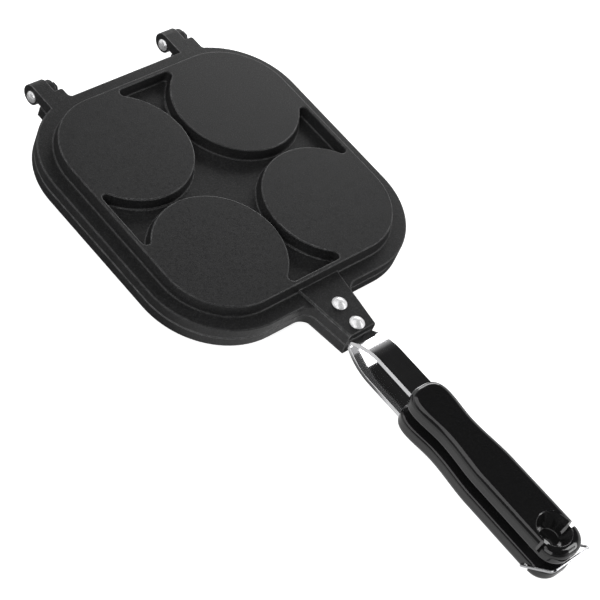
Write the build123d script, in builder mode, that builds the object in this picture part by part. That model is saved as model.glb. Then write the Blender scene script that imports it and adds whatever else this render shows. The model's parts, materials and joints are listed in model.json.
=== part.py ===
"""Double-sided frying pan: two hinged cast pans, each with four round cups.

Frame: origin at the centre of the pan on the surface that it stands on, +Z up,
hinges at +Y, handles at -Y. Lengths are millimetres, angles are degrees.
"""
from build123d import *
from math import cos, hypot, radians, sin, sqrt, tan
import os

os.makedirs("parts", exist_ok=True)

# Cups and pan plan
cup_radius = 42.0
cup_gap_x = 4.5
cup_gap_y = 6.0
flange_width = 11.5
strip_width = 2.6
pocket_tip_round = 1.8
pocket_foot_round = 0.8

# Heights of one half, measured from the parting plane
half_height = 15.0
flange_rise = 7.4
land_depth = 4.4
shell_wall = 3.0
rim_width = 5.5
wall_draft = 10.0
plateau_edge_round = 0.7
plateau_foot_round = 1.0
rim_edge_round = 0.9
seam_chamfer = 0.4
basin_round = 1.5
cup_floor_round = 3.0
cup_mouth_round = 1.2

# Lug that carries the handle strap
lug_reach = 31.0
lug_root_bite = 10.5
lug_root_half = 16.2
lug_end_half = 10.3
lug_rise = 8.7
lug_skirt = 0.6
lug_blend = 9.0
pad_edge_round = 0.5
socket_floor_gap = 1.5

# Handle strap, a flat steel bar
strap_width = 17.6
strap_thick = 3.0
strap_offset = 9.95
strap_half_gap = 0.15
strap_start_gap = 0.4
strap_bend_ahead = 0.8
strap_slope_run = 11.2
strap_free_run = 36.8
strap_tang_run = 96.6
strap_small_bend = 2.4
strap_large_bend = 34.0
strap_edge_round = 0.4
strap_clearance = 0.2

# Rivets through lug and strap
rivet_outer_inset = 5.7
rivet_pitch = 16.1
rivet_radius = 2.6
rivet_head_radius = 4.8
rivet_head_rise = 2.8
head_edge = 0.4
rivet_tail_radius = 4.0
rivet_tail_depth = 1.4
rivet_fit = 0.05

# Grips
grip_inner = 3.9
grip_outer = 14.7
grip_outer_round = 4.4
grip_inner_round = 2.2
grip_nose_half = 1.5
grip_nose_run = 13.4
grip_bulge_half = 13.8
grip_neck_run = 20.3
grip_waist_half = 12.3
grip_swell_run = 33.5
grip_body_half = 14.7
grip_taper_run = 39.4
grip_end_half = 14.9
grip_end_run = 24.5
grip_corner = 12.0
hang_hole_radius = 5.2
hang_dish_radius = 11.3
hang_dish_round = 0.8
hang_hole_inset = 16.8
hang_hole_round = 1.0
grip_end_drop = 1.0
tang_clearance = 0.1
notch_inset = 13.7
notch_width = 3.2
notch_depth = 7.2

# Screws that hold the grips
grip_screw_inset = 15.0
screw_radius = 2.0
screw_head_radius = 3.6
screw_head_rise = 2.2
screw_length = 6.3
screw_slot_width = 0.9
screw_slot_depth = 1.0
screw_recess = 3.2
screw_recess_gap = 0.4
spring_washer_radius = 3.5
spring_washer_thick = 0.8
spring_washer_split = 0.6
screw_fit = 0.05

# Hinges
hinge_outset = 9.0
hinge_reach = 14.7
arm_left_half = 8.5
arm_right_half = 7.8
arm_corner = 1.5
arm_blend = 3.0
arm_gap = 0.3
arm_foot_bite = 0.5
arm_root_bite = 1.0
knuckle_radius = 6.6
knuckle_width = 10.6
knuckle_ahead = 1.0
knuckle_clearance = 0.8
ear_radius = 6.4
ear_width = 4.0
ear_clearance = 0.8
side_clearance = 0.15
bolt_radius = 2.5
bolt_head_radius = 3.9
bolt_head_rise = 2.4
bolt_tip = 0.8
bolt_fit = 0.05
pivot_clearance = 0.1
washer_radius = 3.9
washer_thick = 0.5
nut_across_flats = 7.0
nut_thick = 2.6
nut_corner_cut = 0.4

# Wire latch
wire_radius = 0.8
latch_pivot_inset = 16.4
latch_pivot_drop = 11.0
latch_rest_gap = 0.3
latch_rest_rise = 6.3
latch_side_gap = 0.25
latch_corner = 2.6
latch_hook_bend = 1.0
latch_hook_length = 4.6
latch_bore_end = 0.3
latch_bore_clearance = 0.1

# One length by which every cutting tool overruns what it cuts
overrun = 1.0

# Worked-out sizes of the pan
cup_pitch_x = 2 * cup_radius + cup_gap_x
cup_pitch_y = 2 * cup_radius + cup_gap_y
parting_z = half_height
plateau_rise = half_height - flange_rise
plateau_half_x = cup_pitch_x / 2 + cup_radius
plateau_half_y = cup_pitch_y / 2 + cup_radius
plateau_run = plateau_rise * tan(radians(wall_draft))
flange_half_x = plateau_half_x + flange_width
flange_half_y = plateau_half_y + flange_width
flange_radius = cup_radius + flange_width
parting_plane = Plane.XY.offset(parting_z)
on_top = (Align.CENTER, Align.CENTER, Align.MIN)

# Worked-out places along the lug, strap and grip, each measured from the one before
lug_end_y = -flange_half_y - lug_reach
lug_root_y = lug_root_bite - flange_half_y
socket_end_y = -flange_half_y - socket_floor_gap
pad_z = parting_z + lug_rise
strap_clear_half = strap_width / 2 + strap_clearance
socket_roof = strap_half_gap + strap_thick
strap_inner_z = parting_z + strap_half_gap
strap_grip_z = parting_z + strap_offset
strap_start_y = socket_end_y - strap_start_gap
strap_bend_y = lug_end_y - strap_bend_ahead
strap_level_y = strap_bend_y - strap_slope_run
rivet_outer_y = lug_end_y + rivet_outer_inset
rivet_inner_y = rivet_outer_y + rivet_pitch
grip_start_y = strap_level_y - strap_free_run
strap_end_y = grip_start_y - strap_tang_run
grip_bulge_y = grip_start_y - grip_nose_run
grip_waist_y = grip_bulge_y - grip_neck_run
grip_body_y = grip_waist_y - grip_swell_run
grip_straight_y = grip_body_y - grip_taper_run
grip_end_y = grip_straight_y - grip_end_run
hang_hole_y = grip_end_y + hang_hole_inset
notch_y = grip_end_y + notch_inset
grip_screw_y = strap_end_y + grip_screw_inset
recess_floor_z = parting_z + grip_inner + screw_recess
screw_seat_z = recess_floor_z - spring_washer_thick
latch_pivot_y = grip_end_y + latch_pivot_inset
latch_pivot_z = parting_z - latch_pivot_drop
latch_rest_y = grip_end_y - latch_rest_gap - wire_radius
latch_rest_z = parting_z + latch_rest_rise
latch_leg_x = grip_end_half + latch_side_gap + wire_radius
latch_hook_x = latch_leg_x - latch_hook_length

# Worked-out places of the hinges
hinge_pitch = cup_pitch_x + 2 * hinge_outset
hinge_centres = (-hinge_pitch / 2, hinge_pitch / 2)
hinge_y = flange_half_y + hinge_reach
knuckle_y = hinge_y + knuckle_ahead
knuckle_z = parting_z + flange_rise - knuckle_radius
knuckle_swing = knuckle_radius + hypot(knuckle_ahead, knuckle_z - parting_z)
upper_arm_end_y = hinge_y - ear_radius - ear_clearance
lower_arm_end_y = hinge_y - knuckle_swing - knuckle_clearance
arm_width = arm_left_half + arm_right_half


# One half of the pan without its hinge arms, as the upper half lies
with BuildPart() as cup_tool:
    with BuildSketch(Plane.XY.offset(parting_z + land_depth)):
        with GridLocations(cup_pitch_x, cup_pitch_y, 2, 2):
            Circle(cup_radius - shell_wall + land_depth * tan(radians(wall_draft)))
    extrude(amount=half_height - land_depth - shell_wall, taper=wall_draft)
    fillet(cup_tool.faces().sort_by(Axis.Z)[-4:].edges(), cup_floor_round)

with BuildPart() as basin_tool:
    with BuildSketch(parting_plane):
        RectangleRounded(
            2 * (flange_half_x - rim_width),
            2 * (flange_half_y - rim_width),
            flange_radius - rim_width,
        )
    extrude(amount=land_depth, taper=wall_draft)
    fillet(basin_tool.faces().sort_by(Axis.Z)[-1].edges(), basin_round)

with BuildPart() as pocket_tool:
    inset = strip_width + plateau_run
    with BuildSketch(Plane.XY.offset(parting_z + flange_rise)):
        RectangleRounded(
            2 * (plateau_half_x - inset),
            2 * (plateau_half_y - inset),
            cup_radius - inset,
        )
        with GridLocations(cup_pitch_x, cup_pitch_y, 2, 2):
            Circle(cup_radius + plateau_run, mode=Mode.SUBTRACT)
        fillet(vertices(), pocket_tip_round)
    extrude(amount=plateau_rise + overrun, taper=-wall_draft)
    fillet(pocket_tool.faces().sort_by(Axis.Z)[0].edges(), pocket_foot_round)

with BuildPart() as half_shell:
    with BuildSketch(parting_plane):
        RectangleRounded(2 * flange_half_x, 2 * flange_half_y, flange_radius)
        with BuildLine():
            Polyline(
                (-lug_root_half - lug_skirt, lug_root_y),
                (-lug_end_half - lug_skirt, lug_end_y),
                (lug_end_half + lug_skirt, lug_end_y),
                (lug_root_half + lug_skirt, lug_root_y),
                close=True,
            )
        make_face()
        corners = vertices().filter_by(
            lambda corner: abs(corner.X) < lug_root_half + lug_skirt
            and lug_end_y < corner.Y < lug_root_y
            and corner.Y > lug_end_y / 2 - flange_half_y / 2
        )
        fillet(corners, lug_blend)
    extrude(amount=flange_rise)
    fillet(faces().sort_by(Axis.Z)[-1].edges(), rim_edge_round)
    chamfer(faces().sort_by(Axis.Z)[0].edges(), seam_chamfer)
    with BuildSketch(Plane.XY.offset(parting_z + flange_rise)):
        RectangleRounded(
            2 * (plateau_half_x + plateau_run),
            2 * (plateau_half_y + plateau_run),
            cup_radius + plateau_run,
        )
    extrude(amount=plateau_rise, taper=wall_draft)
    foot = edges().filter_by(
        lambda edge: abs(edge.center().Z - parting_z - flange_rise) < plateau_edge_round
        and edge.bounding_box().max.Y <= plateau_half_y + 2 * plateau_run
        and edge.bounding_box().min.Y >= -plateau_half_y - 2 * plateau_run
    )
    fillet(foot, plateau_foot_round)
    add(pocket_tool.part, mode=Mode.SUBTRACT)
    fillet(faces().sort_by(Axis.Z)[-1].edges(), plateau_edge_round)
    with BuildSketch(parting_plane):
        with BuildLine():
            Polyline(
                (-lug_root_half, lug_root_y + lug_skirt),
                (-lug_end_half, lug_end_y),
                (lug_end_half, lug_end_y),
                (lug_root_half, lug_root_y + lug_skirt),
                close=True,
            )
        make_face()
    extrude(amount=lug_rise)
    pad_edges = faces().filter_by(
        lambda face: abs(face.center().Z - parting_z - lug_rise) < pad_edge_round
        and face.normal_at().Z > cos(radians(wall_draft))
    ).edges()
    fillet(pad_edges.filter_by(lambda edge: edge.center().Y < -flange_half_y), pad_edge_round)
    add(basin_tool.part, mode=Mode.SUBTRACT)
    add(cup_tool.part, mode=Mode.SUBTRACT)
    mouths = edges().filter_by(GeomType.CIRCLE).filter_by(
        lambda edge: abs(edge.center().Z - parting_z - land_depth) < seam_chamfer
        and edge.radius > cup_radius - shell_wall
        and edge.radius < cup_radius
    )
    fillet(mouths, cup_mouth_round)
    with Locations((0, socket_end_y, parting_z)):
        Box(
            2 * strap_clear_half,
            socket_end_y - lug_end_y + overrun,
            2 * socket_roof,
            align=(Align.CENTER, Align.MAX, Align.CENTER),
            mode=Mode.SUBTRACT,
        )
    with Locations((0, rivet_inner_y, parting_z), (0, rivet_outer_y, parting_z)):
        Cylinder(
            rivet_radius + rivet_fit,
            lug_rise + overrun,
            align=on_top,
            mode=Mode.SUBTRACT,
        )


def domed_head(radius, rise):
    """Domed head that sits on the XY plane: a low straight edge under the cap of a sphere."""
    cap_rise = rise - head_edge
    sphere_radius = (radius**2 + cap_rise**2) / (2 * cap_rise)
    with BuildPart() as head:
        Cylinder(radius, rise, align=on_top)
        with Locations((0, 0, rise - sphere_radius)):
            Sphere(sphere_radius, mode=Mode.INTERSECT)
    return head.part


def flange_edge_y(x):
    """Y of the flange's back edge at the given X, round its corner as well."""
    past_corner = max(0, abs(x) - flange_half_x + flange_radius)
    return flange_half_y - flange_radius + sqrt(flange_radius**2 - past_corner**2)


def arm_plan(centre, end_y):
    """Hinge arm seen from above, its right side blended into the flange."""
    left_x = centre - arm_left_half
    right_x = centre + arm_right_half
    foot_x = right_x + arm_blend
    foot_y = flange_edge_y(foot_x) - arm_foot_bite
    root_y = min(foot_y, flange_edge_y(left_x)) - arm_root_bite
    with BuildSketch() as plan:
        with BuildLine():
            TangentArc((foot_x, foot_y), (right_x, foot_y + arm_blend), tangent=(-1, 0))
            Polyline(
                (right_x, foot_y + arm_blend),
                (right_x, end_y),
                (left_x, end_y),
                (left_x, root_y),
                (foot_x, root_y),
                (foot_x, foot_y),
            )
        make_face()
        end_corners = vertices().sort_by(Axis.Y)[-2:]
        fillet(end_corners.sort_by(Axis.X)[-1], arm_corner)
    return plan.sketch


with BuildPart() as upper_pan:
    add(half_shell.part)
    for centre in hinge_centres:
        with BuildSketch(parting_plane.offset(arm_gap)):
            add(arm_plan(centre, upper_arm_end_y))
        extrude(amount=flange_rise - arm_gap)
        with BuildSketch(Plane.YZ.offset(centre - arm_left_half)):
            with Locations((knuckle_y, knuckle_z)):
                Circle(knuckle_radius)
            with Locations((knuckle_y, parting_z + flange_rise)):
                Rectangle(
                    knuckle_y - flange_half_y,
                    flange_rise - arm_gap,
                    align=(Align.MAX, Align.MAX),
                )
        extrude(amount=knuckle_width)
        with Locations((centre, hinge_y, parting_z)):
            Cylinder(
                bolt_radius + bolt_fit,
                2 * arm_width,
                rotation=(0, 90, 0),
                mode=Mode.SUBTRACT,
            )
upper_pan.part.label = "upper_pan"
export_step(upper_pan.part, "parts/upper_pan.step")

with BuildPart() as lower_pan:
    mirror(half_shell.part, about=parting_plane)
    for centre in hinge_centres:
        with BuildSketch(parting_plane.offset(-flange_rise)):
            add(arm_plan(centre, lower_arm_end_y))
        extrude(amount=flange_rise - arm_gap)
        ear_side = centre - arm_left_half + knuckle_width + side_clearance
        with BuildSketch(Plane.YZ.offset(ear_side)):
            with Locations((hinge_y, parting_z)):
                Circle(ear_radius)
            with Locations((hinge_y, parting_z - arm_gap)):
                Rectangle(
                    hinge_y - flange_half_y,
                    ear_radius - arm_gap,
                    align=(Align.MAX, Align.MAX),
                )
        extrude(amount=ear_width)
        with Locations((centre, hinge_y, parting_z)):
            Cylinder(
                bolt_radius + pivot_clearance,
                2 * arm_width,
                rotation=(0, 90, 0),
                mode=Mode.SUBTRACT,
            )
lower_pan.part.label = "lower_pan"
export_step(lower_pan.part, "parts/lower_pan.step")

# Handle straps
with BuildPart() as upper_strap:
    with BuildLine(Plane.YZ) as strap_path:
        FilletPolyline(
            (strap_start_y, strap_inner_z + strap_thick / 2),
            (strap_bend_y, strap_inner_z + strap_thick / 2),
            (strap_level_y, strap_grip_z),
            (strap_end_y, strap_grip_z),
            radius=(strap_small_bend, strap_large_bend),
        )
    with BuildSketch(Plane(strap_path.line @ 0, x_dir=(1, 0, 0), z_dir=strap_path.line % 0)):
        RectangleRounded(strap_width, strap_thick, strap_edge_round)
    sweep()
    with Locations((0, rivet_inner_y, strap_inner_z), (0, rivet_outer_y, strap_inner_z)):
        Cylinder(rivet_radius + rivet_fit, strap_thick, align=on_top, mode=Mode.SUBTRACT)
        Cone(
            rivet_tail_radius + rivet_fit,
            rivet_radius + rivet_fit,
            rivet_tail_depth,
            align=on_top,
            mode=Mode.SUBTRACT,
        )
    with Locations((0, grip_screw_y, strap_grip_z)):
        Cylinder(screw_radius + screw_fit, 2 * strap_thick, mode=Mode.SUBTRACT)
upper_strap.part.label = "upper_strap"
export_step(upper_strap.part, "parts/upper_strap.step")

with BuildPart() as lower_strap:
    mirror(upper_strap.part, about=parting_plane)
lower_strap.part.label = "lower_strap"
export_step(lower_strap.part, "parts/lower_strap.step")


def grip_block(outer):
    """Grip without its sockets, from its inner face up to the given outer height."""
    with BuildPart() as block:
        with BuildSketch(parting_plane.offset(grip_inner)):
            with BuildLine():
                Line((0, grip_start_y), (grip_nose_half, grip_start_y))
                Spline(
                    (grip_nose_half, grip_start_y),
                    (grip_bulge_half, grip_bulge_y),
                    tangents=((1, 0), (0, -1)),
                )
                Spline(
                    (grip_bulge_half, grip_bulge_y),
                    (grip_waist_half, grip_waist_y),
                    tangents=((0, -1), (0, -1)),
                )
                Spline(
                    (grip_waist_half, grip_waist_y),
                    (grip_body_half, grip_body_y),
                    tangents=((0, -1), (0, -1)),
                )
                Spline(
                    (grip_body_half, grip_body_y),
                    (grip_end_half, grip_straight_y),
                    tangents=((0, -1), (0, -1)),
                )
                Line((grip_end_half, grip_straight_y), (grip_end_half, grip_end_y + grip_corner))
                RadiusArc(
                    (grip_end_half, grip_end_y + grip_corner),
                    (grip_end_half - grip_corner, grip_end_y),
                    grip_corner,
                )
                Line((grip_end_half - grip_corner, grip_end_y), (0, grip_end_y))
                mirror(about=Plane.YZ)
            make_face()
        extrude(amount=outer - grip_inner)
        fillet(faces().sort_by(Axis.Z)[-1].edges(), grip_outer_round)
        fillet(faces().sort_by(Axis.Z)[0].edges(), grip_inner_round)
        with BuildSketch(Plane.XZ.offset(-hang_hole_y)):
            with BuildLine():
                rim = FilletPolyline(
                    (hang_hole_radius, parting_z + grip_inner),
                    (hang_dish_radius, parting_z + outer),
                    (hang_dish_radius + overrun, parting_z + outer),
                    radius=hang_dish_round,
                )
                Polyline(
                    rim @ 1,
                    (hang_dish_radius + overrun, parting_z + outer + overrun),
                    (0, parting_z + outer + overrun),
                    (0, parting_z + grip_inner),
                    rim @ 0,
                )
            make_face()
        revolve(axis=Axis((0, hang_hole_y, 0), (0, 0, 1)), mode=Mode.SUBTRACT)
        inner_face = faces().sort_by(Axis.Z)[0]
        fillet(inner_face.inner_wires()[0].edges(), hang_hole_round)
    return block.part


# Grips: the bar beyond the wire notch stands lower than the rest
with BuildPart() as grip_end_bar:
    add(grip_block(grip_outer - grip_end_drop))
    split(bisect_by=Plane.XZ.offset(-notch_y), keep=Keep.TOP)

with BuildPart() as upper_grip:
    add(grip_block(grip_outer))
    split(bisect_by=Plane.XZ.offset(-notch_y), keep=Keep.BOTTOM)
    add(grip_end_bar.part)
    with Locations((0, notch_y, parting_z + grip_outer + overrun)):
        Box(
            2 * grip_end_half + overrun,
            notch_width,
            2 * (notch_depth + overrun),
            mode=Mode.SUBTRACT,
        )
    with Locations((0, grip_start_y + overrun, strap_grip_z)):
        Box(
            2 * strap_clear_half,
            grip_start_y + overrun - strap_end_y + strap_clearance,
            strap_thick + 2 * tang_clearance,
            align=(Align.CENTER, Align.MAX, Align.CENTER),
            mode=Mode.SUBTRACT,
        )
    with Locations((0, grip_screw_y, recess_floor_z)):
        Cylinder(
            screw_head_radius + screw_recess_gap,
            screw_recess + overrun,
            align=(Align.CENTER, Align.CENTER, Align.MAX),
            mode=Mode.SUBTRACT,
        )
    with Locations((0, grip_screw_y, screw_seat_z)):
        Cylinder(
            screw_radius + screw_fit,
            screw_length + strap_clearance,
            align=on_top,
            mode=Mode.SUBTRACT,
        )
upper_grip.part.label = "upper_grip"
export_step(upper_grip.part, "parts/upper_grip.step")

with BuildPart() as lower_grip:
    mirror(upper_grip.part, about=parting_plane)
    for side, turn in ((1, 90), (-1, -90)):
        bore_end_x = side * (latch_hook_x - latch_bore_end)
        with Locations((bore_end_x, latch_pivot_y, latch_pivot_z)):
            Cylinder(
                wire_radius + latch_bore_clearance,
                latch_hook_length + latch_bore_end,
                rotation=(0, turn, 0),
                align=on_top,
                mode=Mode.SUBTRACT,
            )
lower_grip.part.label = "lower_grip"
export_step(lower_grip.part, "parts/lower_grip.step")

# Rivets: a domed head on the lug, a tail spread into the countersink of the strap
with BuildPart() as upper_inner_rivet:
    with Locations((0, rivet_inner_y, pad_z)):
        add(domed_head(rivet_head_radius, rivet_head_rise))
    with Locations((0, rivet_inner_y, strap_inner_z)):
        Cylinder(rivet_radius, pad_z - strap_inner_z, align=on_top)
        Cone(rivet_tail_radius, rivet_radius, rivet_tail_depth, align=on_top)
upper_inner_rivet.part.label = "upper_inner_rivet"
export_step(upper_inner_rivet.part, "parts/upper_inner_rivet.step")

with BuildPart() as upper_outer_rivet:
    with Locations((0, -rivet_pitch, 0)):
        add(upper_inner_rivet.part)
upper_outer_rivet.part.label = "upper_outer_rivet"
export_step(upper_outer_rivet.part, "parts/upper_outer_rivet.step")

with BuildPart() as lower_inner_rivet:
    mirror(upper_inner_rivet.part, about=parting_plane)
lower_inner_rivet.part.label = "lower_inner_rivet"
export_step(lower_inner_rivet.part, "parts/lower_inner_rivet.step")

with BuildPart() as lower_outer_rivet:
    mirror(upper_outer_rivet.part, about=parting_plane)
lower_outer_rivet.part.label = "lower_outer_rivet"
export_step(lower_outer_rivet.part, "parts/lower_outer_rivet.step")

# Screws that hold the grips on the ends of the straps
with BuildPart() as upper_grip_washer:
    with Locations((0, grip_screw_y, screw_seat_z)):
        Cylinder(spring_washer_radius, spring_washer_thick, align=on_top)
        Cylinder(
            screw_radius + screw_fit,
            spring_washer_thick,
            align=on_top,
            mode=Mode.SUBTRACT,
        )
        Box(
            spring_washer_radius + overrun,
            spring_washer_split,
            2 * spring_washer_thick,
            align=(Align.MIN, Align.CENTER, Align.CENTER),
            mode=Mode.SUBTRACT,
        )
upper_grip_washer.part.label = "upper_grip_washer"
export_step(upper_grip_washer.part, "parts/upper_grip_washer.step")

with BuildPart() as lower_grip_washer:
    mirror(upper_grip_washer.part, about=parting_plane)
lower_grip_washer.part.label = "lower_grip_washer"
export_step(lower_grip_washer.part, "parts/lower_grip_washer.step")

with BuildPart() as upper_grip_screw:
    with Locations(Plane((0, grip_screw_y, screw_seat_z), x_dir=(1, 0, 0), z_dir=(0, 0, -1))):
        add(domed_head(screw_head_radius, screw_head_rise))
    with Locations((0, grip_screw_y, screw_seat_z)):
        Cylinder(screw_radius, screw_length, align=on_top)
    with Locations((0, grip_screw_y, screw_seat_z - screw_head_rise)):
        Box(
            2 * screw_head_radius,
            screw_slot_width,
            2 * screw_slot_depth,
            mode=Mode.SUBTRACT,
        )
upper_grip_screw.part.label = "upper_grip_screw"
export_step(upper_grip_screw.part, "parts/upper_grip_screw.step")

with BuildPart() as lower_grip_screw:
    mirror(upper_grip_screw.part, about=parting_plane)
lower_grip_screw.part.label = "lower_grip_screw"
export_step(lower_grip_screw.part, "parts/lower_grip_screw.step")

# Hinge hardware: a bolt from the left, a washer and a nut in the gap beside the knuckle
left_centre = hinge_centres[0]
bolt_seat_x = left_centre - arm_left_half
washer_seat_x = bolt_seat_x + knuckle_width + side_clearance + ear_width
nut_seat_x = washer_seat_x + washer_thick
nut_end_x = nut_seat_x + nut_thick

with BuildPart() as left_hinge_bolt:
    with Locations(Plane((bolt_seat_x, hinge_y, parting_z), x_dir=(0, 1, 0), z_dir=(-1, 0, 0))):
        add(domed_head(bolt_head_radius, bolt_head_rise))
    with BuildSketch(Plane.YZ.offset(bolt_seat_x)):
        with Locations((hinge_y, parting_z)):
            Circle(bolt_radius)
    extrude(amount=nut_end_x + bolt_tip - bolt_seat_x)
    chamfer(left_hinge_bolt.faces().sort_by(Axis.X)[-1].edges(), seam_chamfer)
left_hinge_bolt.part.label = "left_hinge_bolt"
export_step(left_hinge_bolt.part, "parts/left_hinge_bolt.step")

with BuildPart() as left_hinge_washer:
    with BuildSketch(Plane.YZ.offset(washer_seat_x)):
        with Locations((hinge_y, parting_z)):
            Circle(washer_radius)
            Circle(bolt_radius + bolt_fit, mode=Mode.SUBTRACT)
    extrude(amount=washer_thick)
left_hinge_washer.part.label = "left_hinge_washer"
export_step(left_hinge_washer.part, "parts/left_hinge_washer.step")

with BuildPart() as left_hinge_nut:
    with BuildSketch(Plane.YZ.offset(nut_seat_x)):
        with Locations((hinge_y, parting_z)):
            RegularPolygon(nut_across_flats / 2, 6, major_radius=False)
    extrude(amount=nut_thick)
    with BuildSketch(Plane.YZ.offset(nut_seat_x)):
        with Locations((hinge_y, parting_z)):
            Circle(nut_across_flats / 2 + nut_corner_cut)
    extrude(amount=nut_thick, mode=Mode.INTERSECT)
    with BuildSketch(Plane.YZ.offset(nut_seat_x)):
        with Locations((hinge_y, parting_z)):
            Circle(bolt_radius + bolt_fit)
    extrude(amount=nut_thick, mode=Mode.SUBTRACT)
left_hinge_nut.part.label = "left_hinge_nut"
export_step(left_hinge_nut.part, "parts/left_hinge_nut.step")

with BuildPart() as right_hinge_bolt:
    with Locations((hinge_pitch, 0, 0)):
        add(left_hinge_bolt.part)
right_hinge_bolt.part.label = "right_hinge_bolt"
export_step(right_hinge_bolt.part, "parts/right_hinge_bolt.step")

with BuildPart() as right_hinge_washer:
    with Locations((hinge_pitch, 0, 0)):
        add(left_hinge_washer.part)
right_hinge_washer.part.label = "right_hinge_washer"
export_step(right_hinge_washer.part, "parts/right_hinge_washer.step")

with BuildPart() as right_hinge_nut:
    with Locations((hinge_pitch, 0, 0)):
        add(left_hinge_nut.part)
right_hinge_nut.part.label = "right_hinge_nut"
export_step(right_hinge_nut.part, "parts/right_hinge_nut.step")


def rounded_wire(points, bends):
    """Straight runs through the given points, joined by arcs of the given bend radii."""
    here = Vector(*points[0])
    for before, corner, after, bend in zip(points, points[1:], points[2:], bends):
        corner = Vector(*corner)
        back = (Vector(*before) - corner).normalized()
        ahead = (Vector(*after) - corner).normalized()
        half_turn = back.get_angle(ahead) / 2
        run = bend / tan(radians(half_turn))
        middle = (back + ahead).normalized()
        reach = bend / sin(radians(half_turn)) - bend
        Line(here, corner + back * run)
        ThreePointArc(corner + back * run, corner + middle * reach, corner + ahead * run)
        here = corner + ahead * run
    Line(here, Vector(*points[-1]))


# Wire latch: its hooks turn in the lower grip, its bar leans on the end of the upper grip
with BuildPart() as latch_wire:
    with BuildLine() as wire_path:
        rounded_wire(
            [
                (latch_hook_x, latch_pivot_y, latch_pivot_z),
                (latch_leg_x, latch_pivot_y, latch_pivot_z),
                (latch_leg_x, latch_rest_y, latch_rest_z),
                (-latch_leg_x, latch_rest_y, latch_rest_z),
                (-latch_leg_x, latch_pivot_y, latch_pivot_z),
                (-latch_hook_x, latch_pivot_y, latch_pivot_z),
            ],
            [latch_hook_bend, latch_corner, latch_corner, latch_hook_bend],
        )
    with BuildSketch(Plane(wire_path.line @ 0, z_dir=wire_path.line % 0)):
        Circle(wire_radius)
    sweep()
latch_wire.part.label = "latch_wire"
export_step(latch_wire.part, "parts/latch_wire.step")
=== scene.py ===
"""Looks of the double-sided frying pan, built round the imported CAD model. Lengths are metres."""
import json
import math

import bpy
from mathutils import Matrix, Vector

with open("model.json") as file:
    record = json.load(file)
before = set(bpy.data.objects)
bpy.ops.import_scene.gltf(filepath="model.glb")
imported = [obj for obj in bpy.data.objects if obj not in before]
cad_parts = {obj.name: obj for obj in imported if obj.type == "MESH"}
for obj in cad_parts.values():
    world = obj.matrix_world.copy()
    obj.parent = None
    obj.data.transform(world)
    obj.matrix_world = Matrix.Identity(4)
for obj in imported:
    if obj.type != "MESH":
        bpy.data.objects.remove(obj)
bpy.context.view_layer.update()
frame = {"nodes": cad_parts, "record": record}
MM = 0.001

# Camera, placed where the photograph was taken from, with its angles in degrees
CAMERA_AZIMUTH = -60.865
CAMERA_ELEVATION = 47.223
CAMERA_ROLL = 25.423
CAMERA_DISTANCE = 1217.1 * MM
CAMERA_TARGET = Vector((-25.43, -96.78, 30.0)) * MM
CAMERA_REACH = 20.0
FOCAL_PIXELS = 2091.8
PHOTO_PIXELS = 600.0
SENSOR_WIDTH = 36.0

# Noise in every material: its roughness, the range that holds most of its values, and no stretch
NOISE_ROUGHNESS = 0.6
NOISE_LOW = 0.3
NOISE_HIGH = 0.7
UNSTRETCHED = (1.0, 1.0, 1.0)

# Non-stick coating of the pans
COATING_FLECK = {"scale": 1500.0, "detail": 3.0}
COATING_PEEL = {"scale": 520.0, "detail": 2.0}
COATING_CLOUD = {"scale": 22.0, "detail": 3.0}
# Noise that varies the painted edge highlight of the coating
COATING_HIGHLIGHT_NOISE = {"scale": 260.0, "detail": 3.0}
COATING_FLECK_COLOURS = [
    (0.3, (0.008, 0.008, 0.0084)),
    (0.52, (0.015, 0.015, 0.0154)),
    (0.72, (0.042, 0.042, 0.043)),
]
COATING_CLOUD_GREYS = [(0.35, 0.88), (0.65, 1.0)]
# Painted highlight: paler colours along the coating's convex and concave edges, standing in for the light
# lines that rounded edges catch
COATING_PAINTED_HIGHLIGHT_COLOURS = [(0.35, (0.06, 0.06, 0.061)), (0.65, (0.17, 0.17, 0.172))]
COATING_EDGE = {"radius": 1.1 * MM, "low": 0.96, "high": 0.997}
COATING_ROUGHNESS = (0.36, 0.52)
COATING_PEEL_BUMP = {"Strength": 0.22, "Distance": 0.16 * MM}
COATING_FLECK_BUMP = {"Strength": 0.25, "Distance": 0.05 * MM}
COATING_SPECULAR = 0.3
BEVEL_SAMPLES = 6

# Glossy plastic of the grips
GRIP_WAVE = {"scale": 38.0, "detail": 1.0}
GRIP_MARKS = {"scale": 420.0, "detail": 3.0, "stretch": (1.0, 0.06, 1.0)}
GRIP_DUST = {"scale": 1700.0, "detail": 2.0}
GRIP_DUST_COLOURS = [(0.45, (0.0088, 0.0088, 0.009)), (0.8, (0.017, 0.017, 0.0175))]
GRIP_ROUGHNESS = (0.05, 0.1)
GRIP_WAVE_BUMP = {"Strength": 0.06, "Distance": 0.6 * MM}
GRIP_MARKS_BUMP = {"Strength": 0.03, "Distance": 0.03 * MM}
GRIP_IOR = 1.52

# Metals: the grain runs along the axis whose stretch is small, and tint is the colour of the stains
METAL_GRAIN_DETAIL = 4.0
METAL_STAIN = {"scale": 60.0, "detail": 3.0}
METAL_STAIN_LOW = 0.35
METAL_STAIN_HIGH = 0.65
METAL_BUMP_DISTANCE = 0.04 * MM
STRAP_STEEL = {
    "colour": (0.68, 0.68, 0.69),
    "tint": (0.6, 0.6, 0.61),
    "roughness": (0.06, 0.11),
    "grain": 900.0,
    "stretch": (1.0, 0.03, 1.0),
    "strength": 0.05,
}
BRIGHT_STEEL = {
    "colour": (0.9, 0.9, 0.91),
    "tint": (0.8, 0.8, 0.81),
    "roughness": (0.2, 0.3),
    "grain": 700.0,
    "stretch": UNSTRETCHED,
    "strength": 0.08,
    "metallic": 0.6,
}
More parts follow.
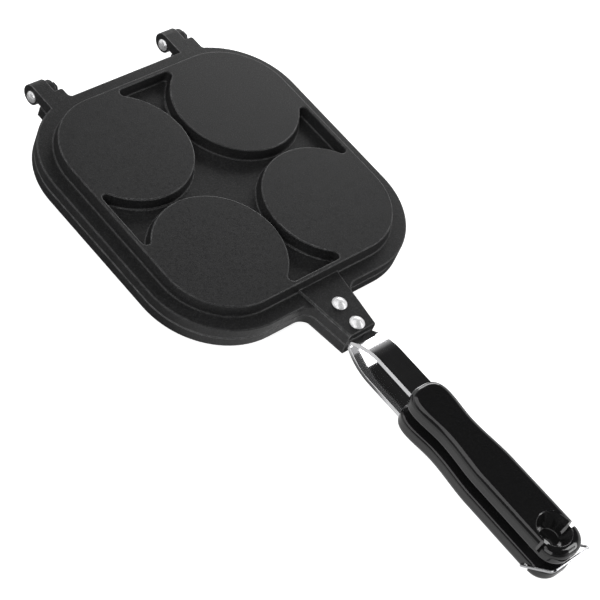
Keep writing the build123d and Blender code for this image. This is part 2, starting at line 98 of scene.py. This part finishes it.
# Rivet heads: a paler, less metallic copy of the bright steel, painted brighter to stand in for the light
# on their domes
RIVET_STEEL_PAINTED_LIT = {
    "colour": (0.97, 0.97, 0.98),
    "tint": (0.93, 0.93, 0.94),
    "roughness": (0.25, 0.35),
    "grain": 900.0,
    "stretch": UNSTRETCHED,
    "strength": 0.08,
    "metallic": 0.3,
}
DARK_STEEL = {
    "colour": (0.075, 0.075, 0.08),
    "tint": (0.05, 0.05, 0.054),
    "roughness": (0.3, 0.46),
    "grain": 900.0,
    "stretch": (0.2, 1.0, 1.0),
    "strength": 0.25,
}
WIRE_STEEL = {
    "colour": (0.5, 0.5, 0.51),
    "tint": (0.42, 0.42, 0.43),
    "roughness": (0.12, 0.2),
    "grain": 1200.0,
    "stretch": (0.1, 1.0, 1.0),
    "strength": 0.08,
}

# Softboxes, which all look at one point: the way to each, its distance, its two sides and its watts
LIGHT_AIM = Vector((0.0, -0.1, 0.0))
UPRIGHT = (0.0, 0.0, 1.0)
SOFTBOXES = {
    "left_box": {"way": (-0.42, 0.38, 0.82), "distance": 1.2, "sides": (1.3, 1.0), "power": 6.5},
    "right_box": {
        "way": (0.63, -0.52, 0.54),
        "distance": 1.5,
        "sides": (0.22, 1.6),
        "power": 6.6,
        "along": (0.0, 0.76, 0.65),
    },
    "back_box": {"way": (0.74, 0.56, 0.32), "distance": 0.85, "sides": (0.5, 0.3), "power": 2.0},
    "camera_box": {"way": (-0.75, -0.4, 0.55), "distance": 1.3, "sides": (0.9, 0.9), "power": 5.0},
}

# Room round the object: greys by height, darkened on the side away from the pale one
ROOM_HEIGHT_GREYS = [(0.0, 1.0), (0.4, 1.0), (0.6, 0.06), (0.7, 0.022), (1.0, 0.022)]
ROOM_PALE_SIDE = (0.75, 0.66, 0.0)
ROOM_SIDE_LOW = -0.5
ROOM_SIDE_HIGH = 0.1
ROOM_DARK_SHARE = 0.1
ROOM_STRENGTH = 0.96
WHITE = (1.0, 1.0, 1.0, 1.0)

# Floor: paper for light, a glow for the camera, and painted shade for reflections: two dark glowing ovals,
# under the pan and under the straps, that only glossy rays see
FLOOR_HALF = 4.0
FLOOR_GRAIN = {"scale": 300.0, "detail": 2.0}
FLOOR_GRAIN_GREYS = [(0.3, 0.79), (0.7, 0.81)]
FLOOR_GLOW = 0.88
REFLECTED_SHADE_PAN_OVAL = {"shift": (0.385, -0.36, 0.0), "scale": (7.7, 7.0, 1.0)}
REFLECTED_SHADE_STRAP_OVAL = {"shift": (-0.7, 2.3, 0.0), "scale": (14.0, 16.5, 1.0)}
REFLECTED_SHADE_GREYS = [(0.0, 0.1), (0.92, 0.16), (1.0, 0.88)]


def make_camera():
    """Camera with its back vector towards the viewer, rolled about the view line."""
    turn = math.radians(CAMERA_AZIMUTH)
    rise = math.radians(CAMERA_ELEVATION)
    roll = math.radians(CAMERA_ROLL)
    back = Vector((math.sin(turn) * math.cos(rise), -math.cos(turn) * math.cos(rise), math.sin(rise)))
    level = Vector((math.cos(turn), math.sin(turn), 0.0))
    over = back.cross(level)
    right = level * math.cos(roll) + over * math.sin(roll)
    up = over * math.cos(roll) - level * math.sin(roll)
    data = bpy.data.cameras.new("camera")
    data.sensor_width = SENSOR_WIDTH
    data.lens = SENSOR_WIDTH * FOCAL_PIXELS / PHOTO_PIXELS
    data.clip_end = CAMERA_REACH
    camera = bpy.data.objects.new("camera", data)
    place = Matrix((right, up, back)).transposed().to_4x4()
    place.translation = CAMERA_TARGET + back * CAMERA_DISTANCE
    camera.matrix_world = place
    bpy.context.scene.collection.objects.link(camera)
    bpy.context.scene.camera = camera


def add_node(tree, kind, **values):
    """New node with its properties set."""
    node = tree.nodes.new(kind)
    for key, value in values.items():
        setattr(node, key, value)
    return node


def set_inputs(node, **values):
    """Sets sockets by name; an underscore in the name stands for a space."""
    for key, value in values.items():
        node.inputs[key.replace("_", " ")].default_value = value
    return node


def new_material(name):
    """Empty node material; returns it with its node tree and its output node."""
    material = bpy.data.materials.new(name)
    material.use_nodes = True
    tree = material.node_tree
    tree.nodes.clear()
    return material, tree, add_node(tree, "ShaderNodeOutputMaterial")


def new_surface(name):
    """Material of the object; returns it with its node tree and its shader."""
    material, tree, output = new_material(name)
    shader = add_node(tree, "ShaderNodeBsdfPrincipled")
    tree.links.new(shader.outputs["BSDF"], output.inputs["Surface"])
    return material, tree, shader


def noise(tree, scale, detail, stretch=UNSTRETCHED):
    """Noise in object space, stretched along an axis where its factor is small."""
    coords = add_node(tree, "ShaderNodeTexCoord")
    mapping = set_inputs(add_node(tree, "ShaderNodeMapping"), Scale=stretch)
    texture = add_node(tree, "ShaderNodeTexNoise")
    set_inputs(texture, Scale=scale, Detail=detail, Roughness=NOISE_ROUGHNESS)
    tree.links.new(coords.outputs["Object"], mapping.inputs["Vector"])
    tree.links.new(mapping.outputs["Vector"], texture.inputs["Vector"])
    return texture.outputs["Fac"]


def ramp(tree, source, stops):
    """Colour ramp; stops are (place, grey or colour), from low to high."""
    node = add_node(tree, "ShaderNodeValToRGB")
    elements = node.color_ramp.elements
    # Any place does for a new stop, because the next loop sets it
    while len(elements) < len(stops):
        elements.new(0.5)
    for element, (place, colour) in zip(elements, stops):
        element.position = place
        element.color = (*colour, 1.0) if isinstance(colour, tuple) else (colour, colour, colour, 1.0)
    tree.links.new(source, node.inputs["Fac"])
    return node.outputs["Color"]


def map_range(tree, source, source_range, result_range):
    """Maps one range of values onto another."""
    node = add_node(tree, "ShaderNodeMapRange")
    set_inputs(node, From_Min=source_range[0], From_Max=source_range[1])
    set_inputs(node, To_Min=result_range[0], To_Max=result_range[1])
    tree.links.new(source, node.inputs["Value"])
    return node.outputs["Result"]


def spread(tree, source, result_range):
    """Maps the middle of a noise onto a range of values."""
    return map_range(tree, source, (NOISE_LOW, NOISE_HIGH), result_range)


def bump(tree, shader, layers):
    """Chain of bumps; each layer is (height source, its inputs)."""
    normal = None
    for source, values in layers:
        node = set_inputs(add_node(tree, "ShaderNodeBump"), **values)
        tree.links.new(source, node.inputs["Height"])
        if normal is not None:
            tree.links.new(normal, node.inputs["Normal"])
        normal = node.outputs["Normal"]
    tree.links.new(normal, shader.inputs["Normal"])


def multiply_colours(tree, first, second):
    """Product of two colours."""
    node = add_node(tree, "ShaderNodeMix", data_type="RGBA", blend_type="MULTIPLY")
    node.inputs["Factor"].default_value = 1.0
    tree.links.new(first, node.inputs["A"])
    tree.links.new(second, node.inputs["B"])
    return node.outputs["Result"]


def mix_colours(tree, factor, first, second):
    """First colour where the factor is 0, second where it is 1."""
    node = add_node(tree, "ShaderNodeMix", data_type="RGBA")
    tree.links.new(factor, node.inputs["Factor"])
    tree.links.new(first, node.inputs["A"])
    tree.links.new(second, node.inputs["B"])
    return node.outputs["Result"]


def mix_shaders(tree, factor, first, second):
    """First shader where the factor is 0, second where it is 1."""
    node = add_node(tree, "ShaderNodeMixShader")
    tree.links.new(factor, node.inputs["Fac"])
    tree.links.new(first, node.inputs[1])
    tree.links.new(second, node.inputs[2])
    return node.outputs["Shader"]


def dot_product(tree, first):
    """Dot product with one vector linked; returns the node, so that the caller sets or links the other."""
    node = add_node(tree, "ShaderNodeVectorMath", operation="DOT_PRODUCT")
    tree.links.new(first, node.inputs[0])
    return node


def edge_mask(tree, radius, low, high):
    """White along convex and concave edges, where the bevelled normal leaves the true one."""
    bevel = add_node(tree, "ShaderNodeBevel", samples=BEVEL_SAMPLES)
    bevel.inputs["Radius"].default_value = radius
    surface = add_node(tree, "ShaderNodeNewGeometry")
    match = dot_product(tree, bevel.outputs["Normal"])
    tree.links.new(surface.outputs["Normal"], match.inputs[1])
    return map_range(tree, match.outputs["Value"], (high, low), (0.0, 1.0))


def coating_material():
    """Matte charcoal coating with a fine fleck and a soft orange peel, and a painted highlight: paler
    colour along its convex and concave edges.
    """
    material, tree, shader = new_surface("coating")
    fleck = noise(tree, **COATING_FLECK)
    peel = noise(tree, **COATING_PEEL)
    colour = ramp(tree, fleck, COATING_FLECK_COLOURS)
    shade = ramp(tree, noise(tree, **COATING_CLOUD), COATING_CLOUD_GREYS)
    painted_highlight = ramp(tree, noise(tree, **COATING_HIGHLIGHT_NOISE), COATING_PAINTED_HIGHLIGHT_COLOURS)
    # Painted highlight: the edge mask lays paler colour on every edge, in place of the light that rounded
    # edges catch
    colour_with_painted_highlight = mix_colours(tree, edge_mask(tree, **COATING_EDGE), multiply_colours(tree, colour, shade), painted_highlight)
    tree.links.new(colour_with_painted_highlight, shader.inputs["Base Color"])
    tree.links.new(spread(tree, peel, COATING_ROUGHNESS), shader.inputs["Roughness"])
    bump(tree, shader, [(peel, COATING_PEEL_BUMP), (fleck, COATING_FLECK_BUMP)])
    shader.inputs["Specular IOR Level"].default_value = COATING_SPECULAR
    return material


def grip_material():
    """Moulded glossy black plastic, very slightly uneven, with fine handling marks."""
    material, tree, shader = new_surface("grip_black")
    wave = noise(tree, **GRIP_WAVE)
    marks = noise(tree, **GRIP_MARKS)
    colour = ramp(tree, noise(tree, **GRIP_DUST), GRIP_DUST_COLOURS)
    tree.links.new(colour, shader.inputs["Base Color"])
    tree.links.new(spread(tree, marks, GRIP_ROUGHNESS), shader.inputs["Roughness"])
    bump(tree, shader, [(wave, GRIP_WAVE_BUMP), (marks, GRIP_MARKS_BUMP)])
    shader.inputs["IOR"].default_value = GRIP_IOR
    return material


def metal_material(name, colour, tint, roughness, grain, stretch, strength, metallic=1.0):
    """Metal with drawn or polished grain along its length and faint stains."""
    material, tree, shader = new_surface(name)
    lines = noise(tree, grain, METAL_GRAIN_DETAIL, stretch)
    stain = noise(tree, **METAL_STAIN)
    base = ramp(tree, stain, [(METAL_STAIN_LOW, tint), (METAL_STAIN_HIGH, colour)])
    tree.links.new(base, shader.inputs["Base Color"])
    tree.links.new(spread(tree, lines, roughness), shader.inputs["Roughness"])
    bump(tree, shader, [(lines, {"Strength": strength, "Distance": METAL_BUMP_DISTANCE})])
    shader.inputs["Metallic"].default_value = metallic
    return material


def dress_nodes():
    """Gives each CAD node the look of its slot; the rivets' heads get a paler, less metallic copy of the
    bright steel, painted brighter to stand in for the light on their domes.
    """
    looks = {
        "coated_aluminium": coating_material(),
        "grip_plastic": grip_material(),
        "strap_steel": metal_material("strap_steel", **STRAP_STEEL),
        "bright_steel": metal_material("bright_steel", **BRIGHT_STEEL),
        "rivet": metal_material("rivet_steel_painted_lit", **RIVET_STEEL_PAINTED_LIT),
        "dark_steel": metal_material("dark_steel", **DARK_STEEL),
        "wire_steel": metal_material("wire_steel", **WIRE_STEEL),
    }
    for row in frame["record"]["subparts"]:
        slot = "rivet" if "rivet" in row["node"] else row["material_slot"]
        materials = frame["nodes"][row["node"]].data.materials
        materials.clear()
        materials.append(looks[slot])


def area_light(name, way, distance, sides, power, along=UPRIGHT):
    """Softbox that looks at the aim; its second side lies along the given direction."""
    back = Vector(way).normalized()
    across = Vector(along).cross(back).normalized()
    data = bpy.data.lights.new(name, "AREA")
    data.shape = "RECTANGLE"
    data.size, data.size_y = sides
    data.energy = power
    lamp = bpy.data.objects.new(name, data)
    place = Matrix((across, back.cross(across), back)).transposed().to_4x4()
    place.translation = LIGHT_AIM + back * distance
    lamp.matrix_world = place
    bpy.context.scene.collection.objects.link(lamp)


def background(tree, strength):
    """Background shader of one strength."""
    return set_inputs(add_node(tree, "ShaderNodeBackground"), Strength=strength)


def make_world():
    """White background for the camera; for the rest a dark room, pale low down at its back and right."""
    world = bpy.data.worlds.new("world")
    world.use_nodes = True
    tree = world.node_tree
    tree.nodes.clear()
    output = add_node(tree, "ShaderNodeOutputWorld")
    direction = add_node(tree, "ShaderNodeTexCoord").outputs["Generated"]
    split = add_node(tree, "ShaderNodeSeparateXYZ")
    tree.links.new(direction, split.inputs["Vector"])
    height = ramp(tree, split.outputs["Z"], ROOM_HEIGHT_GREYS)
    turn = dot_product(tree, direction)
    turn.inputs[1].default_value = ROOM_PALE_SIDE
    side = map_range(
        tree, turn.outputs["Value"], (ROOM_SIDE_LOW, ROOM_SIDE_HIGH), (ROOM_DARK_SHARE, 1.0))
    room = background(tree, ROOM_STRENGTH)
    tree.links.new(multiply_colours(tree, height, side), room.inputs["Color"])
    white = set_inputs(background(tree, 1.0), Color=WHITE)
    seen = add_node(tree, "ShaderNodeLightPath").outputs["Is Camera Ray"]
    mixed = mix_shaders(tree, seen, room.outputs["Background"], white.outputs["Background"])
    tree.links.new(mixed, output.inputs["Surface"])
    bpy.context.scene.world = world


def oval_reach(tree, place, shift, scale):
    """How far a place lies from the middle of an oval, where 1 is its edge."""
    mapping = set_inputs(add_node(tree, "ShaderNodeMapping"), Location=shift, Scale=scale)
    reach = add_node(tree, "ShaderNodeVectorMath", operation="LENGTH")
    tree.links.new(place, mapping.inputs["Vector"])
    tree.links.new(mapping.outputs["Vector"], reach.inputs[0])
    return reach.outputs["Value"]


def floor_material():
    """Pale floor with a faint shadow, white to the camera; reflections show painted shade, a glow that is
    dark in two ovals under the pan and the straps.
    """
    material, tree, output = new_material("floor")
    paper = add_node(tree, "ShaderNodeBsdfDiffuse")
    grain = noise(tree, **FLOOR_GRAIN)
    tree.links.new(ramp(tree, grain, FLOOR_GRAIN_GREYS), paper.inputs["Color"])
    glow = set_inputs(add_node(tree, "ShaderNodeEmission"), Strength=FLOOR_GLOW)
    glowing = add_node(tree, "ShaderNodeAddShader")
    tree.links.new(paper.outputs["BSDF"], glowing.inputs[0])
    tree.links.new(glow.outputs["Emission"], glowing.inputs[1])
    place = add_node(tree, "ShaderNodeTexCoord").outputs["Object"]
    nearer = add_node(tree, "ShaderNodeMath", operation="MINIMUM")
    for socket, oval in zip(nearer.inputs, (REFLECTED_SHADE_PAN_OVAL, REFLECTED_SHADE_STRAP_OVAL)):
        tree.links.new(oval_reach(tree, place, **oval), socket)
    # Painted shade for reflections: a glow, dark inside the two ovals and pale outside them, that only
    # glossy rays see
    reflected_shade = add_node(tree, "ShaderNodeEmission")
    tree.links.new(ramp(tree, nearer.outputs["Value"], REFLECTED_SHADE_GREYS), reflected_shade.inputs["Color"])
    path = add_node(tree, "ShaderNodeLightPath")
    mirrored = mix_shaders(
        tree, path.outputs["Is Glossy Ray"], paper.outputs["BSDF"], reflected_shade.outputs["Emission"])
    mixed = mix_shaders(tree, path.outputs["Is Camera Ray"], mirrored, glowing.outputs["Shader"])
    tree.links.new(mixed, output.inputs["Surface"])
    return material


def make_floor():
    """Square floor under the object, which is stage and not a piece."""
    signs = ((-1, -1), (1, -1), (1, 1), (-1, 1))
    corners = [(x * FLOOR_HALF, y * FLOOR_HALF, 0.0) for x, y in signs]
    mesh = bpy.data.meshes.new("floor")
    mesh.from_pydata(corners, [], [(0, 1, 2, 3)])
    mesh.materials.append(floor_material())
    floor = bpy.data.objects.new("floor", mesh)
    bpy.context.scene.collection.objects.link(floor)
    return floor


make_camera()
bpy.context.scene.view_settings.view_transform = "Standard"
dress_nodes()
for name, values in SOFTBOXES.items():
    area_light(name, **values)
make_world()
floor = make_floor()
